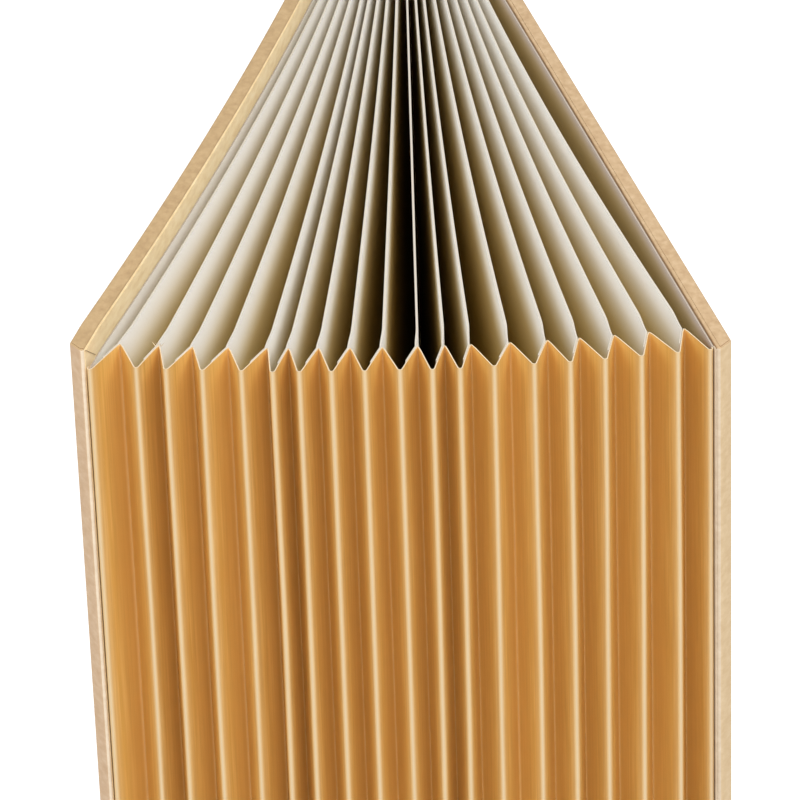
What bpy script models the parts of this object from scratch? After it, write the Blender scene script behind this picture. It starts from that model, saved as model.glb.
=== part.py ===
"""Expanding file folder with nineteen pockets, standing open as a fan.

Metres, +Z up. The front of the folder faces -Y, the closed rear end faces +Y,
and the bottom edges of the two covers stand on the floor at z = 0.
"""

import math

import bmesh
import bpy
from mathutils import Vector

# Whole folder
divider_length = 0.218
divider_height = 0.3005
divider_thickness = 0.0004
rear_pitch = 0.0012
fan_angle = math.radians(21.7)
pocket_opening_shares = (
    0.48, 1.32, 1.10, 1.18, 1.30, 0.58, 0.94, 0.98, 1.02, 1.14,
    0.80, 0.78, 1.30, 1.22, 1.02, 1.14, 1.14, 1.16, 0.40,
)

# Pleated gusset
paper_thickness = 0.0002
pleat_leg = 0.0099
nose_radius = 0.0004
nose_gap = 0.0002
rear_nose_half = 0.0002
front_nose_half = 0.0004
fold_gap = 0.0001
flange_length = 0.0062
flange_thickness = 0.0002
flange_start = 0.0005
mitre_gap = 0.0003
floor_clearance = 0.0012
nose_steps = 5
bottom_sections = 6

# Covers
cover_thickness = 0.0032
cover_front_overhang = 0.0008
cover_rear_overhang = 0.0012
left_cover_rise = 0.0035
right_cover_rise = 0.0006
cover_bow = 0.0009
bow_steps = 12
fore_edge_bevel_depth = 0.0026
fore_edge_bevel_width = 0.0025
cover_edge_radius = 0.0004
cover_edge_segments = 2
cover_edge_limit = math.radians(40)

# Linings on the inner faces of the covers
lining_thickness = 0.0003
lining_gap = 0.0001
lining_front_margin = 0.0022
lining_rear_margin = 0.0030
lining_bottom_margin = 0.0030

# Sizes that follow from the ones above
pocket_count = len(pocket_opening_shares)
divider_count = pocket_count - 1
half_pitch = rear_pitch / 2
fold_offset = divider_thickness / 2 + fold_gap + paper_thickness / 2
sheet_offset = fold_gap + paper_thickness / 2
gusset_bottom_z = floor_clearance + pleat_leg + paper_thickness
divider_bottom_z = gusset_bottom_z + sheet_offset
gusset_top_z = divider_bottom_z + divider_height
cover_front = divider_length + pleat_leg + cover_front_overhang
cover_rear = pleat_leg + sheet_offset + paper_thickness + cover_rear_overhang
opening_sum = sum(pocket_opening_shares)
pocket_angles = [fan_angle * share / opening_sum for share in pocket_opening_shares]

# Colours, roughness
KRAFT = ((0.545, 0.262, 0.062), 0.78)
KRAFT_BOARD = ((0.660, 0.482, 0.300), 0.72)
CREAM = ((0.760, 0.715, 0.600), 0.80)


def make_material(name, finish):
    colour, roughness = finish
    material = bpy.data.materials.new(name)
    material.use_nodes = True
    shader = material.node_tree.nodes["Principled BSDF"]
    shader.inputs["Base Color"].default_value = (*colour, 1.0)
    shader.inputs["Roughness"].default_value = roughness
    shader.inputs["Metallic"].default_value = 0.0
    return material


def add_object(name, bm, finish, parent=None, place=(0, 0, 0), turn=0.0):
    """Make one named piece from a closed bmesh; turn is its angle about Z in its parent's frame."""
    bmesh.ops.recalc_face_normals(bm, faces=bm.faces)
    if bm.calc_volume(signed=True) < 0:
        bmesh.ops.reverse_faces(bm, faces=bm.faces)
    mesh = bpy.data.meshes.new(name)
    bm.to_mesh(mesh)
    bm.free()
    mesh.materials.append(make_material(name + "_material", finish))
    piece = bpy.data.objects.new(name, mesh)
    bpy.context.scene.collection.objects.link(piece)
    piece.parent = parent
    piece.location = place
    piece.rotation_euler = (0, 0, turn)
    return piece


def prism(outline, bottoms, top):
    """Closed solid over a plan outline, with its own bottom height at each corner."""
    bm = bmesh.new()
    low = [bm.verts.new((x, y, z)) for (x, y), z in zip(outline, bottoms)]
    high = [bm.verts.new((x, y, top)) for x, y in outline]
    for i in range(len(outline)):
        j = (i + 1) % len(outline)
        bm.faces.new((low[i], low[j], high[j], high[i]))
    bm.faces.new(low[::-1])
    bm.faces.new(high)
    return bm


def thickened(path, half):
    """Two plan lists at half a thickness to the left and right of a path, mitred at its corners."""
    left, right = [], []
    for i, point in enumerate(path):
        before = (point - path[i - 1]).normalized() if i > 0 else None
        after = (path[i + 1] - point).normalized() if i < len(path) - 1 else None
        before = before or after
        after = after or before
        along = (before + after).normalized()
        normal = Vector((-along.y, along.x))
        reach = half / normal.dot(Vector((-before.y, before.x)))
        left.append(point + normal * reach)
        right.append(point - normal * reach)
    return left, right


# Each body's plan frame has its origin on its rear hinge line, +x to the right and -y to the front.
# The first body is the left cover, with its inner face on x = 0 and its only hinge half a pitch away.

def turned(point, angle):
    c, s = math.cos(angle), math.sin(angle)
    return Vector((point[0] * c - point[1] * s, point[0] * s + point[1] * c))


def hinge_step(body):
    """Where the next body's hinge line lies in this body's frame."""
    return half_pitch if body == 0 else rear_pitch


def body_frames(openings):
    """Plan origin and heading of every body in the left cover's frame."""
    frames = [(Vector((0, 0)), 0.0)]
    for body, opening in enumerate(openings):
        origin, heading = frames[-1]
        step = turned((hinge_step(body), 0), heading)
        frames.append((origin + step, heading + opening))
    return frames


def in_cover_frame(frames, body, point):
    origin, heading = frames[body]
    return origin + turned(point, heading)


def half_chord(pocket, opening):
    """Half the distance across a pocket's front folds, or the whole reach of one leg beside a cover."""
    right_fold = Vector((half_pitch + fold_offset, -divider_length))
    left_fold = Vector((half_pitch - fold_offset, -divider_length))
    if pocket == 0:
        return half_pitch + turned(left_fold, opening).x
    if pocket == pocket_count - 1:
        hinge = Vector((rear_pitch, 0))
        return half_pitch - turned(right_fold - hinge, -opening).x
    return (Vector((rear_pitch, 0)) + turned(left_fold, opening) - right_fold).length / 2


def leg_lean(pocket, opening):
    """Angle of a leg from its pocket's own axis, so that both noses keep their gap."""
    reach = half_chord(pocket, opening) - nose_radius - nose_gap / 2
    return math.asin(reach / (pleat_leg - nose_radius))


def leg_swing(pocket, opening):
    """Angle of a leg from its divider."""
    beside_cover = pocket in (0, pocket_count - 1)
    return leg_lean(pocket, opening) + (opening if beside_cover else opening / 2)


# Gusset legs: flat panels that hinge on the front edge of a divider and end in a rounded nose.

def leg_outline(lean, flanged):
    """Plan outline of a leg that runs to the front from its fold and curls to the right at its nose."""
    half = paper_thickness / 2
    outline = [Vector((half, -fold_gap))]
    if flanged:
        glued = half + flange_thickness
        outline += [Vector((half, -flange_start)), Vector((glued, -flange_start))]
        outline += [Vector((glued, -flange_length)), Vector((half, -flange_length))]
    centre = Vector((nose_radius, nose_radius - pleat_leg))
    angles = [(math.pi / 2 - lean) * step / nose_steps for step in range(nose_steps + 1)]
    spokes = [Vector((-math.cos(a), -math.sin(a))) for a in angles]
    outline += [centre + spoke * (nose_radius - half) for spoke in spokes]
    outline += [centre + spoke * (nose_radius + half) for spoke in reversed(spokes)]
    outline.append(Vector((-half, -fold_gap)))
    return outline


def gusset_leg(name, divider, side, pocket):
    """One leg; side is 1 for the leg to the right of its divider and -1 for the one to its left."""
    opening = pocket_angles[pocket]
    swing = side * leg_swing(pocket, opening)
    plan = leg_outline(leg_lean(pocket, opening), flanged=side < 0)
    plan = [Vector((side * point.x, point.y)) for point in plan]
    bottoms = [divider_bottom_z + turned(point, swing).y + mitre_gap for point in plan]
    fold = (half_pitch + side * fold_offset, -divider_length, 0)
    return add_object(name, prism(plan, bottoms, gusset_top_z), KRAFT, divider, fold, swing)


# Continuous gusset sheets: the bottom, and the closed rear end.
# A sheet point is its body, its plan point, its depth beyond the divider edges and the angle of that depth.

def sheet_faces(frames, points, outward):
    """Both faces of the paper along sheet points, as plan points with their own depths."""
    path = [in_cover_frame(frames, body, point) for body, point, _, _ in points]
    faces = []
    for side in thickened(path, paper_thickness / 2):
        face = []
        for corner, middle, (body, _, depth, angle) in zip(side, path, points):
            _, heading = frames[body]
            direction = turned(outward, heading + angle)
            face.append((corner, depth + (corner - middle).dot(direction)))
        faces.append(face)
    return faces


def front_sheet_faces(frames):
    """The gusset's folds at the front, each with its depth before the divider edges."""
    points = []
    for pocket in range(pocket_count):
        opening = pocket_angles[pocket]
        lean = leg_lean(pocket, opening)
        depth = pleat_leg * math.cos(lean)
        if pocket == 0:
            points.append((0, Vector((front_nose_half, -divider_length - depth)), depth, 0.0))
        elif pocket == pocket_count - 1:
            nose = Vector((half_pitch - front_nose_half, -divider_length - depth))
            points.append((pocket_count, nose, depth, 0.0))
        else:
            axis = opening / 2
            fold = Vector((half_pitch + fold_offset, -divider_length))
            middle = fold + turned((half_chord(pocket, opening), 0), axis)
            for side in (-1, 1):
                nose = middle + turned((side * front_nose_half, -depth), axis)
                points.append((pocket, nose, depth, axis))
        if pocket < divider_count:
            for side in (-1, 1):
                fold = Vector((half_pitch + side * fold_offset, -divider_length - sheet_offset))
                points.append((pocket + 1, fold, sheet_offset, 0.0))
    return sheet_faces(frames, points, Vector((0, -1)))


def rear_sheet_faces(frames):
    """The gusset's folds at the closed rear end, each with its depth behind the dividers."""
    points = []
    depth = pleat_leg
    for pocket in range(pocket_count):
        if pocket == 0:
            points.append((0, Vector((rear_nose_half + paper_thickness / 2, depth)), depth, 0.0))
        elif pocket == pocket_count - 1:
            nose = Vector((half_pitch - rear_nose_half - paper_thickness / 2, depth))
            points.append((pocket_count, nose, depth, 0.0))
        else:
            axis = pocket_angles[pocket] / 2
            for side in (-1, 1):
                nose = Vector((rear_pitch, 0)) + turned((side * rear_nose_half, depth), axis)
                points.append((pocket, nose, depth, axis))
        if pocket < divider_count:
            for side in (-1, 1):
                fold = Vector((half_pitch + side * fold_offset, sheet_offset))
                points.append((pocket + 1, fold, sheet_offset, 0.0))
    return sheet_faces(frames, points, Vector((0, 1)))


def lofted_sheet(sections):
    """Closed solid through cross-sections; each section is a pair of matching lists of 3D points."""
    bm = bmesh.new()
    rings = [[[bm.verts.new(point) for point in face] for face in section] for section in sections]
    for (left, right), (next_left, next_right) in zip(rings, rings[1:]):
        for i in range(len(left) - 1):
            bm.faces.new((left[i], left[i + 1], next_left[i + 1], next_left[i]))
            bm.faces.new((right[i], next_right[i], next_right[i + 1], right[i + 1]))
        for end in (0, -1):
            bm.faces.new((left[end], next_left[end], next_right[end], right[end]))
    for left, right in (rings[0], rings[-1]):
        for i in range(len(left) - 1):
            bm.faces.new((left[i], right[i], right[i + 1], left[i + 1]))
    return bm


def bow_at(share):
    """Share of a cover's bow at a share of the way from the rear hinge line to the front folds."""
    return 4 * share * (1 - share)


def bottom_gusset(frames, root):
    front = front_sheet_faces(frames)
    rear = rear_sheet_faces(frames)[::-1]
    sections = []
    for step in range(bottom_sections + 1):
        share = step / bottom_sections
        section = []
        for front_face, rear_face in zip(front, rear):
            face = []
            for i, ((near, near_depth), (far, far_depth)) in enumerate(zip(front_face, rear_face)):
                plan = near.lerp(far, share)
                depth = near_depth + (far_depth - near_depth) * share
                shift = cover_bow * bow_at(1 - share) if i == 0 else 0.0
                face.append((plan.x + shift, plan.y, divider_bottom_z - depth))
            section.append(face)
        sections.append(section)
    return add_object("bottom_gusset", lofted_sheet(sections), KRAFT, root)


def rear_gusset(frames, root):
    faces = rear_sheet_faces(frames)
    low = [[(plan.x, plan.y, divider_bottom_z - depth + mitre_gap) for plan, depth in face] for face in faces]
    high = [[(plan.x, plan.y, gusset_top_z) for plan, _ in face] for face in faces]
    return add_object("rear_gusset", lofted_sheet([low, high]), KRAFT, root)


# Covers and linings: outward is the distance from the inner face, away from the pockets.

def bowed_line(outward, start, end, bow):
    """Plan points (outward, along) from start to end, with the cover's bow."""
    line = [(outward, start)]
    for i in range(bow_steps + 1):
        share = i / bow_steps
        along = share * divider_length
        if start < along < end:
            line.append((outward - bow * bow_at(share), along))
    line.append((outward, end))
    return line


def board_outline(bow):
    """Plan outline of a board with its slanted fore edge."""
    inner = lining_thickness + lining_gap
    outer = inner + cover_thickness
    face = bowed_line(inner, -cover_rear, cover_front, bow)
    slant = [(outer - fore_edge_bevel_width, cover_front)]
    back = bowed_line(outer, -cover_rear, cover_front - fore_edge_bevel_depth, bow)
    return face + slant + back[::-1]


def lining_outline(bow):
    front = cover_front - lining_front_margin
    rear = lining_rear_margin - cover_rear
    return bowed_line(0.0, rear, front, bow) + bowed_line(lining_thickness, rear, front, bow)[::-1]


def plate(outline, side, inner_x, bottom, top):
    """Flat-ended solid over an outline; side is -1 for a cover to the left and 1 to the right."""
    plan = [(inner_x + side * outward, -along) for outward, along in outline]
    return prism(plan, [bottom] * len(plan), top)


def soften_edges(piece):
    bevel = piece.modifiers.new("paper_turned_over_edges", "BEVEL")
    bevel.width = cover_edge_radius
    bevel.segments = cover_edge_segments
    bevel.limit_method = "ANGLE"
    bevel.angle_limit = cover_edge_limit


def cover(name, side, rise, bow, parent=None, place=(0, 0, 0), turn=0.0):
    inner_x = 0.0 if parent is None else half_pitch
    bm = plate(board_outline(bow), side, inner_x, 0.0, gusset_top_z + rise)
    board = add_object(name + "_cover", bm, KRAFT_BOARD, parent, place, turn)
    soften_edges(board)
    bm = plate(lining_outline(bow), side, inner_x, lining_bottom_margin, gusset_top_z)
    add_object(name + "_lining", bm, CREAM, board)
    return board


def divider(name, parent, place, turn):
    """A flat sheet from the rear hinge line to its front fold."""
    left = half_pitch - divider_thickness / 2
    right = half_pitch + divider_thickness / 2
    plan = [(left, 0), (left, -divider_length), (right, -divider_length), (right, 0)]
    bm = prism(plan, [divider_bottom_z] * len(plan), gusset_top_z)
    return add_object(name, bm, CREAM, parent, place, turn)


def centre_on_floor(root):
    """Move the whole folder so that the middle of its plan outline is at the origin."""
    bpy.context.view_layer.update()
    corners = [
        piece.matrix_world @ vertex.co
        for piece in bpy.context.scene.objects
        for vertex in piece.data.vertices
    ]
    for axis in (0, 1):
        values = [corner[axis] for corner in corners]
        root.location[axis] -= (min(values) + max(values)) / 2
    bpy.context.view_layer.update()


def build_folder():
    frames = body_frames(pocket_angles)
    root = cover("left", -1, left_cover_rise, cover_bow, turn=-fan_angle / 2)
    body = root
    for k in range(1, divider_count + 1):
        place = (hinge_step(k - 1), 0, 0)
        body = divider(f"divider_{k:02d}", body, place, pocket_angles[k - 1])
        gusset_leg(f"pleat_{k:02d}_left", body, -1, k - 1)
        gusset_leg(f"pleat_{k:02d}_right", body, 1, k)
    cover("right", 1, right_cover_rise, 0.0, body, (rear_pitch, 0, 0), pocket_angles[-1])
    bottom_gusset(frames, root)
    rear_gusset(frames, root)
    centre_on_floor(root)


for stale in list(bpy.data.objects):
    bpy.data.objects.remove(stale, do_unlink=True)
build_folder()
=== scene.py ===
import math
import random

import bmesh
import bpy
import numpy as np
from mathutils import Matrix, Vector


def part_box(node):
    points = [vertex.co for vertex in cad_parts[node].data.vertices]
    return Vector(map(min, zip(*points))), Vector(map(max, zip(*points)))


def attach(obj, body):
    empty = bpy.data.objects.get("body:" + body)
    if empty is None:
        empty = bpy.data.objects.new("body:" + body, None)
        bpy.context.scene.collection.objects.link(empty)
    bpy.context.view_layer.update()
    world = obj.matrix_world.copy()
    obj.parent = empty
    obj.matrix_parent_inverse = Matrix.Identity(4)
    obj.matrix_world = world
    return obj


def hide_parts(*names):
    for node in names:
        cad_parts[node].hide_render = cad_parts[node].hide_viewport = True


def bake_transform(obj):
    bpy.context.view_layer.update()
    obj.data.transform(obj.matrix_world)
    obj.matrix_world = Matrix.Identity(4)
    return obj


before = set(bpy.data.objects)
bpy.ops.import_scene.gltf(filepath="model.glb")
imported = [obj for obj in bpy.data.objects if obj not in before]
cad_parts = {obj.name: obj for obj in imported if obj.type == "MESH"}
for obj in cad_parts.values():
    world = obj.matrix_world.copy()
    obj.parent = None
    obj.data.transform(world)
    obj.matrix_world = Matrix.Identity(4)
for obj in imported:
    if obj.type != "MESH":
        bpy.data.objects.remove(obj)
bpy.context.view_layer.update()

# Folder sizes in metres, the same as in the solids
divider_length = 0.218
divider_height = 0.3005
divider_thickness = 0.0004
rear_pitch = 0.0012
fan_angle = math.radians(21.7)
pocket_opening_shares = (
    0.48, 1.32, 1.10, 1.18, 1.30, 0.58, 0.94, 0.98, 1.02, 1.14,
    0.80, 0.78, 1.30, 1.22, 1.02, 1.14, 1.14, 1.16, 0.40,
)
paper_thickness = 0.0002
pleat_leg = 0.0099
nose_radius = 0.0004
rear_nose_radius = 0.0002
nose_gap = 0.0002
fold_gap = 0.0001
flange_length = 0.0062
flange_thickness = 0.0002
floor_clearance = 0.0012
mitre_gap = 0.0003
cover_thickness = 0.0032
cover_front_overhang = 0.0008
cover_rear_overhang = 0.0012
left_cover_rise = 0.0035
right_cover_rise = 0.0006
fore_edge_bevel_depth = 0.0026
fore_edge_bevel_width = 0.0025
cover_edge_radius = 0.0004
lining_thickness = 0.0003
lining_gap = 0.0001
lining_front_margin = 0.0022
lining_rear_margin = 0.0030
lining_bottom_margin = 0.0030

# Sizes of the scene's own; the solids bow less, because hulls round bowed sheets would fill the pockets
cover_bow = 0.0022
divider_bow = 0.00246
bow_steps = 24
crease_offset = 0.00012
first_leg = 0.0112
nose_aside_shares = {1: 0.15}
left_lining_drop = 0.0011

# Sizes that follow from the ones above
half_pitch = rear_pitch / 2
sheet_offset = fold_gap + paper_thickness / 2
divider_bottom_z = floor_clearance + pleat_leg + paper_thickness + sheet_offset
gusset_top_z = divider_bottom_z + divider_height
cover_front = divider_length + pleat_leg + cover_front_overhang
cover_rear = pleat_leg + sheet_offset + paper_thickness + cover_rear_overhang
pocket_count = len(pocket_opening_shares)
divider_count = pocket_count - 1
opening_sum = sum(pocket_opening_shares)
pocket_angles = [fan_angle * share / opening_sum for share in pocket_opening_shares]
half_paper = paper_thickness / 2


# Plan frames of the bodies

def turned(point, angle):
    c, s = math.cos(angle), math.sin(angle)
    return Vector((point[0] * c - point[1] * s, point[0] * s + point[1] * c))


def body_frames():
    frames = [(Vector((0, 0)), -fan_angle / 2)]
    for body, opening in enumerate(pocket_angles):
        origin, heading = frames[-1]
        step = half_pitch if body == 0 else rear_pitch
        frames.append((origin + turned((step, 0), heading), heading + opening))
    return frames


frames = body_frames()


def plan(body, x, y):
    origin, heading = frames[body]
    return origin + turned((x, y), heading)


def root_shift():
    """Where the solids stand, from the middle divider's box."""
    node = divider_count // 2
    low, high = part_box(f"divider_{node:02d}")
    corners = [
        plan(node, half_pitch + side * divider_thickness / 2, -along)
        for side in (-1, 1) for along in (0, divider_length)
    ]
    shift = []
    for axis in (0, 1):
        values = [corner[axis] for corner in corners]
        shift.append((low[axis] + high[axis]) / 2 - (min(values) + max(values)) / 2)
    return Vector(shift)


shift = root_shift()
frames = [(origin + shift, heading) for origin, heading in frames]
bodies = ["left_cover"] + [f"divider_{k:02d}" for k in range(1, pocket_count)] + ["right_cover"]


# Camera, fitted to the folds and edges in the photo; its place is from the middle of the rear hinge lines

camera_lens_mm = 212.31
camera_sensor_mm = 36
camera_clip = (0.01, 20)
camera_right, camera_forward, camera_up = 0.0115, -0.9639, 0.3458
camera_yaw_deg, camera_down_deg, camera_roll_deg = 0.919, 25.55, -1.934


def add_camera():
    middle = (plan(0, 0, 0) + plan(pocket_count, half_pitch, 0)) / 2
    data = bpy.data.cameras.new("camera")
    data.lens = camera_lens_mm
    data.sensor_width = camera_sensor_mm
    data.clip_start, data.clip_end = camera_clip
    camera = bpy.data.objects.new("camera", data)
    bpy.context.scene.collection.objects.link(camera)
    place = Vector((middle.x + camera_right, middle.y + camera_forward, gusset_top_z + camera_up))
    yaw = Matrix.Rotation(math.radians(camera_yaw_deg), 4, "Z")
    tilt = Matrix.Rotation(math.radians(90 - camera_down_deg), 4, "X")
    roll = Matrix.Rotation(math.radians(camera_roll_deg), 4, "Z")
    camera.matrix_world = Matrix.Translation(place) @ yaw @ tilt @ roll
    bpy.context.scene.camera = camera


# Materials

def linear(r, g, b):
    """A screen colour 0 to 255 as a linear one."""
    out = []
    for value in (r, g, b):
        share = value / 255
        out.append(share / 12.92 if share <= 0.04045 else ((share + 0.055) / 1.055) ** 2.4)
    return (*out, 1.0)


class Nodes:
    """Short calls for building one material's nodes."""

    def __init__(self, name, roughness, specular=0.25):
        self.material = bpy.data.materials.new(name)
        self.material.use_nodes = True
        self.tree = self.material.node_tree
        self.shader = self.tree.nodes["Principled BSDF"]
        self.shader.inputs["Roughness"].default_value = roughness
        self.shader.inputs["Specular IOR Level"].default_value = specular
        self.coordinates = self.tree.nodes.new("ShaderNodeTexCoord").outputs["Object"]

    def link(self, output, socket):
        self.tree.links.new(output, socket)

    def noise(self, scale, stretch=(1, 1, 1), detail=3.0, roughness=0.55):
        mapping = self.tree.nodes.new("ShaderNodeMapping")
        mapping.inputs["Scale"].default_value = stretch
        self.link(self.coordinates, mapping.inputs["Vector"])
        texture = self.tree.nodes.new("ShaderNodeTexNoise")
        texture.inputs["Scale"].default_value = scale
        texture.inputs["Detail"].default_value = detail
        texture.inputs["Roughness"].default_value = roughness
        self.link(mapping.outputs["Vector"], texture.inputs["Vector"])
        return texture.outputs["Fac"]

    def depth_from_height(self):
        """Share of a divider's height below the gusset's top edge, from the piece's own coordinates."""
        split = self.tree.nodes.new("ShaderNodeSeparateXYZ")
        self.link(self.coordinates, split.inputs["Vector"])
        below = self.math("SUBTRACT", gusset_top_z, split.outputs["Z"])
        return self.math("DIVIDE", below, divider_height)

    def attribute(self, name):
        node = self.tree.nodes.new("ShaderNodeAttribute")
        node.attribute_name = name
        return node.outputs["Fac"]

    def ramp(self, value, *stops):
        """Grey or coloured ramp over (place, colour) stops."""
        node = self.tree.nodes.new("ShaderNodeValToRGB")
        elements = node.color_ramp.elements
        while len(elements) < len(stops):
            elements.new(0.5)
        for element, (place, colour) in zip(elements, stops):
            element.position = place
            element.color = colour if isinstance(colour, tuple) else (colour, colour, colour, 1)
        self.link(value, node.inputs["Fac"])
        return node.outputs["Color"]

    def math(self, operation, a, b):
        node = self.tree.nodes.new("ShaderNodeMath")
        node.operation = operation
        for socket, value in zip(node.inputs, (a, b)):
            if isinstance(value, (int, float)):
                socket.default_value = value
            else:
                self.link(value, socket)
        return node.outputs["Value"]

    def mix(self, share, a, b):
        node = self.tree.nodes.new("ShaderNodeMix")
        node.data_type = "RGBA"
        for socket, value in zip((node.inputs[0], node.inputs[6], node.inputs[7]), (share, a, b)):
            if isinstance(value, (int, float, tuple)):
                socket.default_value = value
            else:
                self.link(value, socket)
        return node.outputs[2]

    def bump(self, height, strength, distance):
        node = self.tree.nodes.new("ShaderNodeBump")
        node.inputs["Strength"].default_value = strength
        node.inputs["Distance"].default_value = distance
        self.link(height, node.inputs["Height"])
        self.link(node.outputs["Normal"], self.shader.inputs["Normal"])

    def finish(self, colour):
        self.link(colour, self.shader.inputs["Base Color"])
        return self.material


def kraft_gusset_material():
    m = Nodes("kraft_gusset_paper", 0.62)
    streaks = m.noise(1400, (1, 1, 0.035))
    blotches = m.noise(60, (1, 1, 0.6))
    fibres = m.noise(3200, (1, 1, 0.30), 2.0)
    stops = ((0.32, linear(198, 149, 73)), (0.52, linear(214, 166, 87)), (0.72, linear(228, 185, 111)))
    base = m.ramp(streaks, *stops)
    base = m.mix(m.ramp(blotches, (0.35, 0.0), (0.70, 0.60)), base, linear(208, 155, 71))
    fold = m.attribute("fold")
    # Painted light: the legs turn lighter and yellower towards the inward fold, lifting the shade that falls
    # in the fold.
    fold_fill_light = m.ramp(fold, (0.0, 0.75), (0.30, 0.55), (0.75, 0.0))
    base = m.mix(fold_fill_light, base, linear(240, 198, 116))
    # Pale band along each nose: partly wear of the fold, partly a painted highlight where the nose faces the
    # light.
    nose_wear_and_highlight = m.ramp(fold, (0.66, 0.0), (0.84, 0.25), (0.94, 0.65), (1.0, 1.0))
    base = m.mix(nose_wear_and_highlight, base, linear(212, 188, 150))
    # Painted highlight: a thin pale line down each inward fold.
    crease = m.ramp(fold, (0.0, 1.0), (0.03, 0.9), (0.09, 0.0))
    base = m.mix(crease, base, linear(250, 218, 158))
    base = m.mix(m.ramp(fibres, (0.62, 0.0), (0.80, 0.30)), base, linear(230, 190, 128))
    m.bump(m.mix(0.5, streaks, fibres), 0.25, 0.0002)
    return m.finish(base)


# Painted shade: how far the shade colour takes over with the share of depth below the top edge.
deep_shade_stops = ((0.0, 0.0), (0.010, 0.12), (0.032, 0.75), (0.09, 1.0))


def cream_material(name, *screen_colours, stored_depth=False, reach=1.0):
    """Cream card from its light, dark and shade colours, with a painted yellow-olive shade deep in the
    pockets.

    The depth is stored on the points or comes from the height, and reach scales how far down it acts.
    """
    light, dark, deep_shade = (linear(*colour) for colour in screen_colours)
    m = Nodes(name, 0.70)
    cloud = m.noise(45, (1, 1, 1))
    fibres = m.noise(2600, (1, 1, 0.6), 2.0)
    base = m.mix(m.ramp(cloud, (0.30, 0.0), (0.75, 0.6)), light, dark)
    depth = m.attribute("depth") if stored_depth else m.depth_from_height()
    stops = [(place * reach, share) for place, share in deep_shade_stops]
    base = m.mix(m.ramp(depth, *stops), base, deep_shade)
    base = m.mix(m.ramp(fibres, (0.60, 0.0), (0.85, 0.20)), base, linear(196, 180, 146))
    m.bump(fibres, 0.15, 0.0001)
    return m.finish(base)


def edge_material(name, *screen_colours):
    """Cut edge of paper from its dark and light colours."""
    dark, light = (linear(*colour) for colour in screen_colours)
    m = Nodes(name, 0.75)
    fibres = m.noise(4000, (1, 1, 1), 2.0)
    return m.finish(m.ramp(fibres, (0.3, dark), (0.7, light)))


def board_material(name, *screen_colours, stretch=0.22):
    """Kraft paper on board from its dark, middle and light colours, with its grain along the cover."""
    dark, middle, light = (linear(*colour) for colour in screen_colours)
    m = Nodes(name, 0.66)
    grain = m.noise(800, (1, stretch, 1))
    blotches = m.noise(260, (1, 0.6, 1), 4.0)
    fibres = m.noise(3000, (1, 0.25, 0.8), 2.0)
    base = m.ramp(grain, (0.30, dark), (0.52, middle), (0.74, light))
    base = m.mix(m.ramp(blotches, (0.38, 0.0), (0.72, 0.35)), base, light)
    base = m.mix(m.ramp(fibres, (0.60, 0.0), (0.82, 0.22)), base, dark)
    m.bump(m.mix(0.5, grain, fibres), 0.12, 0.0002)
    return m.finish(base)


KRAFT = kraft_gusset_material()
# The third colour of each cream paper is the painted shade deep in the pockets.
CREAM = cream_material(
    "cream_divider_paper", (252, 250, 247), (249, 247, 241), (225, 195, 101), stored_depth=True)
LINING_LEFT = cream_material("cream_lining_paper_left", (252, 250, 247), (249, 247, 241), (214, 180, 84))
# Painted shade: the right lining is a darker, greyer copy of the cream lining, for the shade on its face
# turned from the light.
LINING_RIGHT_SHADED = cream_material(
    "cream_lining_paper_right_painted_shade", (208, 194, 188), (198, 184, 176), (184, 160, 106), reach=0.16)
# Painted shade: the linings' cut edges are greyed for the shade they lie in beside the board.
LINING_EDGE = edge_material("lining_cut_edge_painted_shade", (176, 162, 146), (204, 192, 176))
EDGE = edge_material("paper_cut_edge", (208, 186, 152), (234, 218, 192))
# Painted shade: the dividers' cut edges are darker than their faces, damping the light that falls on the top
# edges.
DIVIDER_EDGE = edge_material("divider_cut_edge_painted_shade", (200, 193, 178), (214, 207, 194))
# Painted shade: dark brown paper on the small walls at seams, mitres and gaps, for the shade lines there.
SHADE_LINE = edge_material("kraft_painted_shade_line", (112, 78, 46), (146, 106, 66))
# Left and right copies of the board, fore-edge and top papers differ in tone only for the light each cover
# gets: painted light and shade, with the left top darker.
BOARD_LEFT = board_material("kraft_cover_paper_left", (190, 158, 125), (198, 168, 136), (206, 180, 150))
BOARD_RIGHT = board_material("kraft_cover_paper_right", (199, 171, 132), (206, 180, 142), (213, 189, 153))
FORE_LEFT = board_material("kraft_fore_edge_paper_left", (214, 195, 168), (221, 203, 177), (228, 212, 188))
FORE_RIGHT = board_material("kraft_fore_edge_paper_right", (198, 177, 150), (206, 187, 161), (213, 196, 172))
TOP_LEFT = board_material(
    "kraft_top_edge_paper_left", (172, 142, 102), (184, 154, 112), (194, 165, 123), stretch=0.6)
TOP_RIGHT = board_material(
    "kraft_top_edge_paper_right", (182, 150, 112), (194, 164, 126), (206, 178, 142), stretch=0.6)
# Turn-in paper on the left cover's inner face: its pale yellow is partly the paper's own and partly painted
# light on that lit face.
TURN_IN = board_material("kraft_turn_in_paper", (230, 203, 156), (240, 217, 172), (247, 228, 190))
# Painted shade: dark brown paper on the right cover's inner face, the face turned from the light.
RIM_RIGHT_SHADED = board_material("kraft_rim_paper_right_painted_shade", (132, 100, 68), (154, 120, 84), (176, 142, 104))


# Paper sheets

sheet_sharp_angle = math.radians(35)


def add_mesh(name, verts, faces, indices, materials):
    mesh = bpy.data.meshes.new(name)
    mesh.from_pydata(verts, [], faces)
    for material in materials:
        mesh.materials.append(material)
    mesh.polygons.foreach_set("material_index", indices)
    mesh.polygons.foreach_set("use_smooth", [True] * len(faces))
    mesh.set_sharp_from_angle(angle=sheet_sharp_angle)
    piece = bpy.data.objects.new(name, mesh)
    bpy.context.scene.collection.objects.link(piece)
    return piece


def grid_normals(grid):
    """Unit normals of a rows by columns grid of points."""
    down = np.gradient(grid, axis=0)
    along = np.gradient(grid, axis=1)
    normal = np.cross(along, down)
    return normal / np.linalg.norm(normal, axis=2, keepdims=True)


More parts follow.
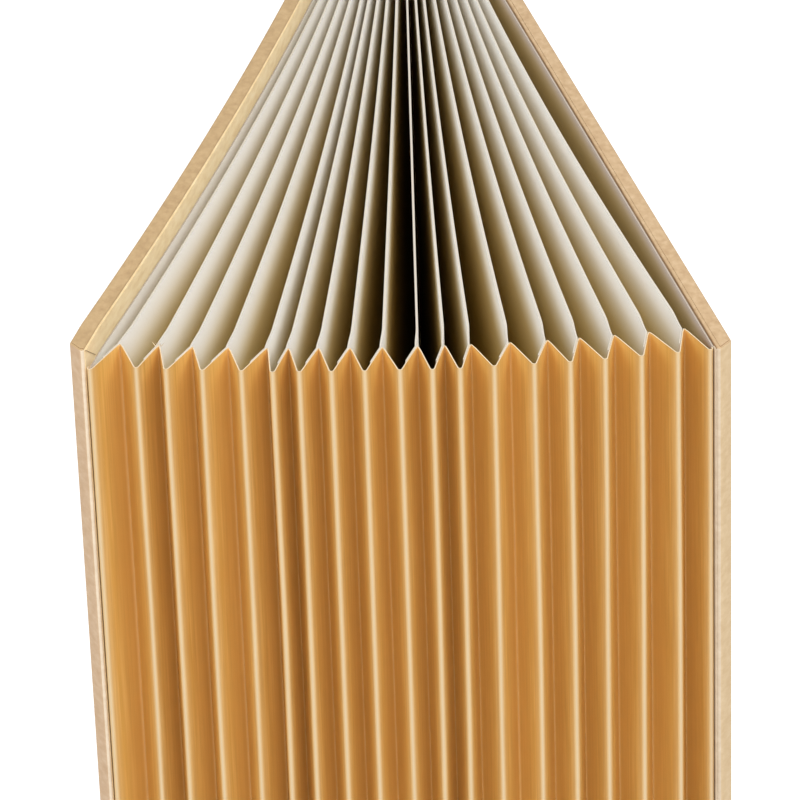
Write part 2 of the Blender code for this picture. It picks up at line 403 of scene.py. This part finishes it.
def paper_sheet(name, grid, half, face, edge=EDGE, by_row=None, **values):
    """Closed sheet of paper round a grid of its middle surface; attributes go by row or by column."""
    rows, columns = grid.shape[:2]
    halves = np.broadcast_to(np.asarray(half, float), (columns,))[None, :, None]
    offset = grid_normals(grid) * halves
    points = np.concatenate([(grid + offset).reshape(-1, 3), (grid - offset).reshape(-1, 3)])
    back = rows * columns

    def at(side, row, column):
        return side * back + row * columns + column

    faces, indices = [], []
    for row in range(rows - 1):
        for column in range(columns - 1):
            quad = [(row, column), (row, column + 1), (row + 1, column + 1), (row + 1, column)]
            faces.append([at(0, *corner) for corner in reversed(quad)])
            faces.append([at(1, *corner) for corner in quad])
            indices += [0, 0]
    rim = [(0, c) for c in range(columns)] + [(r, columns - 1) for r in range(1, rows)]
    rim += [(rows - 1, c) for c in range(columns - 2, -1, -1)] + [(r, 0) for r in range(rows - 2, 0, -1)]
    for a, b in zip(rim, rim[1:] + rim[:1]):
        faces.append([at(0, *a), at(0, *b), at(1, *b), at(1, *a)])
        indices.append(1)
    piece = add_mesh(name, points.tolist(), faces, indices, [face, edge])
    spread = {key: np.tile(column_values, 2 * rows) for key, column_values in values.items()}
    for key, row_values in (by_row or {}).items():
        spread[key] = np.tile(np.repeat(row_values, columns), 2)
    for key, point_values in spread.items():
        layer = piece.data.attributes.new(key, "FLOAT", "POINT")
        layer.data.foreach_set("value", point_values.astype(np.float32))
    return piece


# Gusset: one strip per pocket that runs down the front, under the pocket and up the rear

# Counts of rows and steps
leg_steps = 7
arc_steps = 5
front_rows = 14
bottom_rows = 9
rear_rows = 6
# Fold shares run from 0 at an inward fold to 1 at the tip of a nose
fold_strip = ((1.0, 0.0), (0.30, 0.05))
fold_strip_step = 0.02
leg_start = 0.04
nose_start = 0.86
flap_share = 0.06
# The legs' slight waves from top to bottom
gusset_seed = 7
sway_size = 0.00010
sway_waves = 6
sway_frequency = 2.3
sway_phase = 4
sway_onset = 6


def half_profile(reach, radius, leg):
    """Points (across, forward, fold share) from the inward fold at `reach` to the nose at across = 0.

    The fold share is 0 at the inward fold and 1 at the tip of the nose.
    """
    straight = leg - radius
    lean = math.asin(reach / math.hypot(straight, radius)) - math.atan2(radius, straight)
    centre = straight * math.cos(lean) - radius * math.sin(lean)
    points = [
        (reach + crease_offset * out, sheet_offset + sheet_offset * rise, fold_strip_step * i)
        for i, (out, rise) in enumerate(fold_strip)
    ]
    for step in range(1, leg_steps + 1):
        share = leg_start + (1 - leg_start) * step / leg_steps
        run = straight * share
        points.append((reach - run * math.sin(lean), run * math.cos(lean), nose_start * share))
    for step in range(1, arc_steps + 1):
        angle = lean + (math.pi / 2 - lean) * step / arc_steps
        across, forward = radius * math.cos(angle), centre + radius * math.sin(angle)
        points.append((across, forward, nose_start + (1 - nose_start) * step / arc_steps))
    return points, lean, centre


def front_places(pocket):
    """Pocket frame at the front: middle of the nose on the fold line, heading, left and right reach."""
    left_fold = plan(pocket, half_pitch + crease_offset, -divider_length)
    right_fold = plan(pocket + 1, half_pitch - crease_offset, -divider_length)
    edge = nose_radius + nose_gap / 2
    if pocket == 0:
        heading = frames[0][1]
        middle = plan(0, edge, -divider_length)
        return middle, heading, None, turned(right_fold - middle, -heading).x
    if pocket == pocket_count - 1:
        heading = frames[-1][1]
        middle = plan(pocket_count, half_pitch - edge, -divider_length)
        return middle, heading, -turned(left_fold - middle, -heading).x, None
    across = right_fold - left_fold
    heading = math.atan2(across.y, across.x)
    return (left_fold + right_fold) / 2, heading, across.length / 2, across.length / 2


def rear_places(pocket):
    """The same at the closed rear end, where the noses point backwards."""
    reach = half_pitch - crease_offset
    if pocket == 0:
        return plan(0, half_paper + rear_nose_radius, 0), frames[0][1], None, reach
    if pocket == pocket_count - 1:
        x = half_pitch - half_paper - rear_nose_radius
        return plan(pocket_count, x, 0), frames[-1][1], reach, None
    return plan(pocket, rear_pitch, 0), frames[pocket][1] + pocket_angles[pocket] / 2, reach, reach


def whole_profile(left, right, radius, leg=pleat_leg):
    """Profile from the left fold to the right one, and the lean of its legs.

    A side that is None lies flat on its cover.
    """
    measured = left if left is not None else right
    shape, lean, centre = half_profile(measured, radius, leg)
    nose_points = sum(1 for _, forward, _ in shape if forward > centre)
    flat = []
    for step, (_, forward, share) in enumerate(shape):
        if forward <= centre:
            flat.append((radius, centre - (centre - forward) * flap_share, share))
        else:
            angle = math.pi / 2 * (1 - (len(shape) - 1 - step) / nose_points)
            flat.append((radius * math.cos(angle), centre + radius * math.sin(angle), share))
    left_half = shape if left is not None else flat
    right_half = shape if right is not None else flat
    points = [(-across, forward, share) for across, forward, share in left_half]
    points += list(reversed(right_half[:-1]))
    return points, lean


def bow_at(share):
    """Share of a bow at a share of the way from the rear hinge line to the front folds."""
    return 4 * share * (1 - share)


def body_bow(body):
    """How far a cover or divider bows to +X of its own frame at its middle."""
    if body == 0:
        return cover_bow
    if body == pocket_count:
        return 0.0
    return -divider_bow * frames[body][1] / (fan_angle / 2)


def gusset_piece(pocket, rng):
    """Make one pocket's pleat and return its place, which the flange in that pocket follows."""
    name = f"gusset_pleat_{pocket + 1:02d}"
    middle, heading, left, right = front_places(pocket)
    rear_middle, rear_heading, rear_left, rear_right = rear_places(pocket)
    front, lean = whole_profile(left, right, nose_radius, first_leg if pocket == 0 else pleat_leg)
    shear = nose_aside_shares.get(pocket, 0.0)
    rear, _ = whole_profile(rear_left, rear_right, rear_nose_radius)
    left_reach = nose_radius if left is None else left
    right_reach = nose_radius if right is None else right
    wander = [rng.uniform(-1, 1) for _ in range(sway_waves)]
    between_dividers = left is not None and right is not None
    columns = []
    for (u, v, share), (ru, rv, _) in zip(front, rear):
        column = []
        near = middle + turned((u + shear * v, -v), heading)
        far = rear_middle + turned((ru, rv), rear_heading)
        low = divider_bottom_z - v
        for row in range(front_rows):
            down = row / (front_rows - 1)
            z = gusset_top_z + (low - gusset_top_z) * down
            waves = (w * math.sin((i + 1) * sway_frequency * down + sway_phase * w)
                     for i, w in enumerate(wander))
            sway = sum(waves) * sway_size * share * min(1, sway_onset * down) if between_dividers else 0.0
            point = near + turned((sway, 0), heading)
            column.append((point.x, point.y, z))
        for row in range(1, bottom_rows):
            along = row / (bottom_rows - 1)
            point = near.lerp(far, along)
            depth = v + (rv - v) * along
            toward = max(0.0, min(1.0, (u + left_reach) / (left_reach + right_reach)))
            bow = body_bow(pocket) * (1 - toward) + body_bow(pocket + 1) * toward
            point = point + turned((bow * bow_at(1 - along), 0), heading)
            column.append((point.x, point.y, divider_bottom_z - depth))
        for row in range(1, rear_rows):
            up = row / (rear_rows - 1)
            base = divider_bottom_z - rv
            column.append((far.x, far.y, base + (gusset_top_z - base) * up))
        columns.append(column)
    grid = np.array(columns).transpose(1, 0, 2)
    shares = [share for _, _, share in front]
    piece = paper_sheet(name, grid, half_paper, KRAFT, fold=shares)
    start = middle if left is None else middle + turned((-left, 0), heading)
    end = middle if right is None else middle + turned((right, 0), heading)
    z = gusset_top_z / 2
    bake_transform(piece)
    replaced = []
    if pocket > 0:
        replaced.append(f"pleat_{pocket:02d}_right")
    if pocket < divider_count:
        replaced.append(f"pleat_{pocket + 1:02d}_left")
    if pocket == 0:
        replaced += ["bottom_gusset", "rear_gusset"]
    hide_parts(*replaced)
    return (start, end, middle, heading, right, lean, shear)


# Dividers and the flanges that glue them to the gusset

divider_half = divider_thickness / 2
flange_half = flange_thickness / 2
flange_gap = 0.00007
flange_reach = crease_offset + half_paper + flange_half + flange_gap
hook_length = 0.0085
divider_columns = 26
flat_columns_share = 0.6
divider_sway = 0.00012
divider_seed = 100
flange_columns = 7
flange_rows = 6
divider_row_shares = (0.0, 0.02, 0.05, 0.09, 0.14, 0.20, 0.30, 0.45, 0.60, 0.80, 1.0)


def divider_piece(number):
    """A bowed sheet whose front edge hooks to the left, onto the gusset leg that it is glued to."""
    rng = random.Random(divider_seed + number)
    sway = rng.uniform(-divider_sway, divider_sway)
    flat_length = divider_length - hook_length
    bow = body_bow(number)
    columns, halves = [], []
    for i in range(divider_columns):
        share = i / (divider_columns - 1)
        along = flat_length * min(1.0, share / flat_columns_share)
        if share > flat_columns_share:
            along += hook_length * (share - flat_columns_share) / (1 - flat_columns_share)
        turn = max(0.0, (along - flat_length) / hook_length)
        hook = flange_reach * turn * turn * (3 - 2 * turn)
        wave = sway * math.sin(math.pi * min(1, along / flat_length))
        halves.append(divider_half + (flange_half - divider_half) * turn)
        column = []
        across = half_pitch - hook + bow * bow_at(along / divider_length)
        for down in divider_row_shares:
            z = gusset_top_z + (divider_bottom_z - gusset_top_z) * down
            point = plan(number, across + wave * (1 - down), -along)
            column.append((point.x, point.y, z))
        columns.append(column)
    grid = np.array(columns).transpose(1, 0, 2)
    depths = {"depth": divider_row_shares}
    piece = paper_sheet(f"divider_sheet_{number:02d}", grid, halves, CREAM, DIVIDER_EDGE, by_row=depths)
    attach(piece, bodies[number])
    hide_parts(f"divider_{number:02d}")


def flange_piece(number, place):
    """The divider's front edge, folded on and glued to the pocket side of the gusset leg to its left."""
    start, end, middle, heading, right, lean, shear = place
    aside = half_paper + flange_half + flange_gap
    columns = []
    for step in range(flange_columns):
        run = flange_length * step / (flange_columns - 1)
        u = right - run * math.sin(lean) - aside * math.cos(lean)
        v = run * math.cos(lean) - aside * math.sin(lean)
        point = middle + turned((u + shear * v, -max(v, 0.0)), heading)
        low = divider_bottom_z - max(v, 0.0) + mitre_gap
        drop = (low - gusset_top_z) / (flange_rows - 1)
        columns.append([(point.x, point.y, gusset_top_z + drop * row) for row in range(flange_rows)])
    grid = np.array(columns).transpose(1, 0, 2)
    piece = paper_sheet(f"divider_flange_{number:02d}", grid, flange_half, CREAM, DIVIDER_EDGE)
    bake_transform(piece)


# Covers and linings: outward is the distance from the inner face, along the distance from the rear hinge line

cover_sharp_angle = math.radians(30)
cover_bevel_angle = math.radians(25)
cover_bevel_segments = 3


def bowed_line(outward, start, end, bow):
    """Plan points (outward, along) from start to end, with the cover's bow."""
    line = [(outward, start)]
    for i in range(bow_steps + 1):
        share = i / bow_steps
        along = share * divider_length
        if start < along < end:
            line.append((outward - bow * bow_at(share), along))
    line.append((outward, end))
    return line


def prism_piece(name, body, side, low, high, materials, walls, cap, bevel=None):
    """Closed prism between two rings of (outward, along, z) points; walls and cap are material indices."""
    inner_x = 0.0 if side < 0 else half_pitch
    bm = bmesh.new()

    def ring(points):
        placed = []
        for outward, along, z in points:
            spot = plan(body, inner_x + side * outward, -along)
            placed.append(bm.verts.new((spot.x, spot.y, z)))
        return placed

    lower, upper = ring(low), ring(high)
    for i, wall in enumerate(walls):
        j = (i + 1) % len(walls)
        bm.faces.new((lower[i], lower[j], upper[j], upper[i])).material_index = wall
    bm.faces.new(lower[::-1]).material_index = cap
    bm.faces.new(upper).material_index = cap
    bmesh.ops.recalc_face_normals(bm, faces=bm.faces)
    if bevel:
        sharp = [e for e in bm.edges if len(e.link_faces) == 2 and e.calc_face_angle() > cover_bevel_angle]
        bmesh.ops.bevel(bm, geom=sharp, offset=bevel, segments=cover_bevel_segments, profile=0.5,
                        affect="EDGES", clamp_overlap=True)
    mesh = bpy.data.meshes.new(name)
    bm.to_mesh(mesh)
    bm.free()
    for material in materials:
        mesh.materials.append(material)
    mesh.polygons.foreach_set("use_smooth", [True] * len(mesh.polygons))
    mesh.set_sharp_from_angle(angle=cover_sharp_angle)
    piece = bpy.data.objects.new(name, mesh)
    bpy.context.scene.collection.objects.link(piece)
    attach(piece, bodies[body])
    return piece


def outline_piece(name, body, side, outline, bottom, top, materials, walls=None, cap=0, bevel=None):
    """Upright prism over an outline of (outward, along) points."""
    low = [(outward, along, bottom) for outward, along in outline]
    high = [(outward, along, top) for outward, along in outline]
    return prism_piece(name, body, side, low, high, materials, walls or [0] * len(outline), cap, bevel)


wrap_thickness = 0.00008
wrap_sink = 0.00030
wrap_inset = 0.00045
turn_in_thickness = 0.00016
mitre_run = 0.0064
turn_in_gap = 0.0005
fore_turn_in_width = 0.0020
strip_clearance = 0.00012
left_rim_inset = 0.0001
right_rim_inset = 0.0006
# Wall index 1 takes the dark paper that paints a shade line.
PAPER_WALL, SHADE_LINE_WALL = 0, 1
top_facing = 0.6
front_facing = 0.2
slant_facing = 0.35
inner_facing = -0.6


def paint_cover(board, body, side):
    """Papers by where a face looks: 1 the fore edge, 2 the inner face, 3 the top, 0 the rest."""
    heading = frames[body][1]
    forward, outward = turned((0, -1), heading), turned((side, 0), heading)
    for face in board.data.polygons:
        ahead = face.normal.x * forward.x + face.normal.y * forward.y
        out = face.normal.x * outward.x + face.normal.y * outward.y
        if face.normal.z > top_facing:
            face.material_index = 3
        elif ahead > front_facing and out < slant_facing:
            face.material_index = 1
        elif out < inner_facing:
            face.material_index = 2
        else:
            face.material_index = 0


def cover_pieces(word, body, side, rise, bow, papers, rim_inset, rim_wall, lining_drop):
    """A cover's board, lining, top turn-over and turned-in strips.

    The papers are those of the outer face, fore edge, inner face, top and lining.
    """
    top_paper, lining_paper = papers[3:]
    inner = lining_thickness + lining_gap
    outer = inner + cover_thickness
    top = gusset_top_z + rise
    face = bowed_line(inner, -cover_rear, cover_front, bow)
    slant = [(outer - fore_edge_bevel_width, cover_front)]
    back = bowed_line(outer, -cover_rear, cover_front - fore_edge_bevel_depth, bow)
    board = outline_piece(f"{word}_cover_board", body, side, face + slant + back[::-1], 0.0, top,
                          papers[:4], bevel=cover_edge_radius)
    paint_cover(board, body, side)
    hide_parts(f"{word}_cover")

    front = cover_front - lining_front_margin
    rear = lining_rear_margin - cover_rear
    lining_line = bowed_line(0.0, rear, front, bow) + bowed_line(lining_thickness, rear, front, bow)[::-1]
    lining = outline_piece(f"{word}_lining_sheet", body, side, lining_line, lining_bottom_margin,
                           gusset_top_z - lining_drop, [lining_paper, LINING_EDGE], cap=1)
    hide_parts(f"{word}_lining")

    near, far = inner + rim_inset, outer - wrap_inset
    reach = cover_front - wrap_inset
    cap_face = bowed_line(near, wrap_inset - cover_rear, reach, bow)
    cap_slant = [(outer - fore_edge_bevel_width, reach)]
    cap_back = bowed_line(far, wrap_inset - cover_rear, cover_front - fore_edge_bevel_depth, bow)
    cap_line = cap_face + cap_slant + cap_back[::-1]
    # The cap's outer walls, and on the right cover also its inner walls, carry the painted shade line.
    cap = outline_piece(f"{word}_top_turn_over", body, side, cap_line, top - wrap_sink, top + wrap_thickness,
                        [top_paper, SHADE_LINE],
                        [rim_wall] * (len(cap_face) - 1) + [SHADE_LINE_WALL] * (len(cap_back) + 2))
    if lining_drop:
        turn_in_pieces(word, body, side, inner, gusset_top_z - lining_drop, top, bow)
    else:
        shown, sunk = strip_clearance, inner + wrap_sink
        behind, ahead = cover_front - fore_turn_in_width, cover_front - cover_edge_radius
        strip_line = [(shown, behind), (shown, ahead), (sunk, ahead), (sunk, behind)]
        strip = outline_piece(f"{word}_fore_turn_in", body, side, strip_line, wrap_inset, top - wrap_inset,
                              [papers[1]])


def turn_in_pieces(word, body, side, inner, base, top, bow):
    """Paper of the top and fore edges turned in on the inner face, with a mitre where the two meet."""
    proud, sunk = inner - turn_in_thickness, inner + wrap_sink
    z_low, z_high = base + mitre_gap, top - wrap_inset
    corner = cover_front - wrap_inset
    band = bowed_line(proud, wrap_inset - cover_rear, corner, bow)
    behind = bowed_line(sunk, wrap_inset - cover_rear, corner, bow)[::-1]
    line = band + behind
    tips = (len(band) - 1, len(band))
    low = [(o, a - (mitre_run + turn_in_gap if i in tips else 0.0), z_low) for i, (o, a) in enumerate(line)]
    high = [(o, a - (turn_in_gap if i in tips else 0.0), z_high) for i, (o, a) in enumerate(line)]
    # The mitre's tip wall carries the painted shade line.
    walls = [PAPER_WALL] * (len(band) - 1) + [SHADE_LINE_WALL] + [PAPER_WALL] * len(behind)
    top_strip = prism_piece(f"{word}_top_turn_in", body, side, low, high, [TURN_IN, SHADE_LINE], walls, PAPER_WALL)

    slope = mitre_run / (z_high - z_low)
    knee = base - (mitre_run - fore_turn_in_width) / slope
    corners = [(corner, z_high), (corner - mitre_run, z_low), (corner - fore_turn_in_width, knee),
               (corner - fore_turn_in_width, wrap_inset), (corner, wrap_inset)]
    shown = [(inner - wrap_thickness, along, z) for along, z in corners]
    hidden = [(sunk, along, z) for along, z in corners]
    # The mitre edges carry the painted shade line.
    walls = [SHADE_LINE_WALL] * 2 + [PAPER_WALL] * 3
    fore_strip = prism_piece(f"{word}_fore_turn_in", body, side, shown, hidden, [TURN_IN, SHADE_LINE], walls,
                             PAPER_WALL)


# Torn fibres at the top of a fold

fibre_width = 0.00022
fibre_lengths = (0.0011, 0.0009, 0.0010, 0.0007, 0.0009)
fibre_row_widths = 4
fibre_splay = 1.6
fibre_lean = 0.3
fibre_lift = 0.9
torn_divider = 2


def torn_fibres(number):
    """A tuft of thin spikes at the top of the inward fold at a divider."""
    root = plan(number, half_pitch - crease_offset, -divider_length)
    heading = frames[number][1]
    bm = bmesh.new()
    for i, length in enumerate(fibre_lengths):
        spread = i / (len(fibre_lengths) - 1) - 0.5
        foot = root + turned((spread * fibre_row_widths * fibre_width, -i % 2 * fibre_width), heading)
        tip = foot + turned((spread * fibre_splay * length, fibre_lean * length * (-1) ** i), heading)
        tip_z = gusset_top_z + length * (fibre_lift - spread * spread)
        ring = []
        for turn in range(3):
            aside = turned((fibre_width / 2, 0), heading + turn * 2 * math.pi / 3)
            ring.append(bm.verts.new((foot.x + aside.x, foot.y + aside.y, gusset_top_z - fibre_width)))
        point = bm.verts.new((tip.x, tip.y, tip_z))
        for a, b in zip(ring, ring[1:] + ring[:1]):
            bm.faces.new((a, b, point))
        bm.faces.new(ring[::-1])
    bmesh.ops.recalc_face_normals(bm, faces=bm.faces)
    mesh = bpy.data.meshes.new("torn_fold_fibres")
    bm.to_mesh(mesh)
    bm.free()
    mesh.materials.append(EDGE)
    piece = bpy.data.objects.new("torn_fold_fibres", mesh)
    bpy.context.scene.collection.objects.link(piece)
    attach(piece, bodies[number])


# Stage

floor_half_width = 3.0
floor_z = -0.0002
floor_glow_to_camera = 0.42
world_light, world_seen = 0.60, 1.0
lamp_target = (0, 0, 0.2)
lamps = (  # name, place, watts, width
    ("front", (0.15, -1.45, 1.35), 10.0, 0.9),
    ("left", (-1.15, -0.75, 1.25), 7.6, 0.9),
    ("right", (1.0, -0.75, 1.7), 11.5, 0.9),
    ("top", (0.0, -0.2, 1.7), 2.5, 1.0),
)


def add_floor():
    bm = bmesh.new()
    bmesh.ops.create_grid(bm, x_segments=1, y_segments=1, size=floor_half_width)
    mesh = bpy.data.meshes.new("floor")
    bm.to_mesh(mesh)
    bm.free()
    material = bpy.data.materials.new("floor")
    material.use_nodes = True
    shader = material.node_tree.nodes["Principled BSDF"]
    shader.inputs["Base Color"].default_value = (0.86, 0.86, 0.86, 1)
    shader.inputs["Roughness"].default_value = 0.9
    shader.inputs["Specular IOR Level"].default_value = 0.1
    path = material.node_tree.nodes.new("ShaderNodeLightPath")
    scale = material.node_tree.nodes.new("ShaderNodeMath")
    scale.operation = "MULTIPLY"
    scale.inputs[1].default_value = floor_glow_to_camera
    material.node_tree.links.new(path.outputs["Is Camera Ray"], scale.inputs[0])
    shader.inputs["Emission Color"].default_value = (1, 1, 1, 1)
    material.node_tree.links.new(scale.outputs[0], shader.inputs["Emission Strength"])
    mesh.materials.append(material)
    floor = bpy.data.objects.new("floor", mesh)
    floor.location = (0, 0, floor_z)
    bpy.context.scene.collection.objects.link(floor)


def add_world():
    """White to the camera and in reflections, and dimmer as a light."""
    world = bpy.data.worlds.new("studio")
    bpy.context.scene.world = world
    world.use_nodes = True
    tree = world.node_tree
    background = tree.nodes["Background"]
    background.inputs["Color"].default_value = (1, 1, 1, 1)
    rays = tree.nodes.new("ShaderNodeLightPath")
    top = tree.nodes.new("ShaderNodeMath")
    top.operation = "MAXIMUM"
    tree.links.new(rays.outputs["Is Camera Ray"], top.inputs[0])
    tree.links.new(rays.outputs["Is Glossy Ray"], top.inputs[1])
    level = tree.nodes.new("ShaderNodeMapRange")
    level.inputs["To Min"].default_value = world_light
    level.inputs["To Max"].default_value = world_seen
    tree.links.new(top.outputs[0], level.inputs["Value"])
    tree.links.new(level.outputs["Result"], background.inputs["Strength"])


def add_lamps():
    target = Vector(lamp_target)
    for name, place, power, width in lamps:
        data = bpy.data.lights.new(name, "AREA")
        data.energy = power
        data.size = width
        lamp = bpy.data.objects.new(name, data)
        lamp.location = place
        lamp.rotation_mode = "QUATERNION"
        lamp.rotation_quaternion = (Vector(place) - target).to_track_quat("Z", "Y")
        bpy.context.scene.collection.objects.link(lamp)


add_camera()
gusset_rng = random.Random(gusset_seed)
places = [gusset_piece(pocket, gusset_rng) for pocket in range(pocket_count)]
for number in range(1, pocket_count):
    divider_piece(number)
    flange_piece(number, places[number - 1])
left_papers = (BOARD_LEFT, FORE_LEFT, TURN_IN, TOP_LEFT, LINING_LEFT)
cover_pieces("left", 0, -1, left_cover_rise, cover_bow, left_papers, left_rim_inset, PAPER_WALL,
             left_lining_drop)
# The right cover's papers carry painted shade: its inner face, lining and inner top rim are darkened.
right_papers = (BOARD_RIGHT, FORE_RIGHT, RIM_RIGHT_SHADED, TOP_RIGHT, LINING_RIGHT_SHADED)
cover_pieces("right", pocket_count, 1, right_cover_rise, 0.0, right_papers, right_rim_inset, SHADE_LINE_WALL, 0.0)
torn_fibres(torn_divider)
add_floor()
add_world()
add_lamps()
bpy.context.scene.view_settings.view_transform = "Standard"
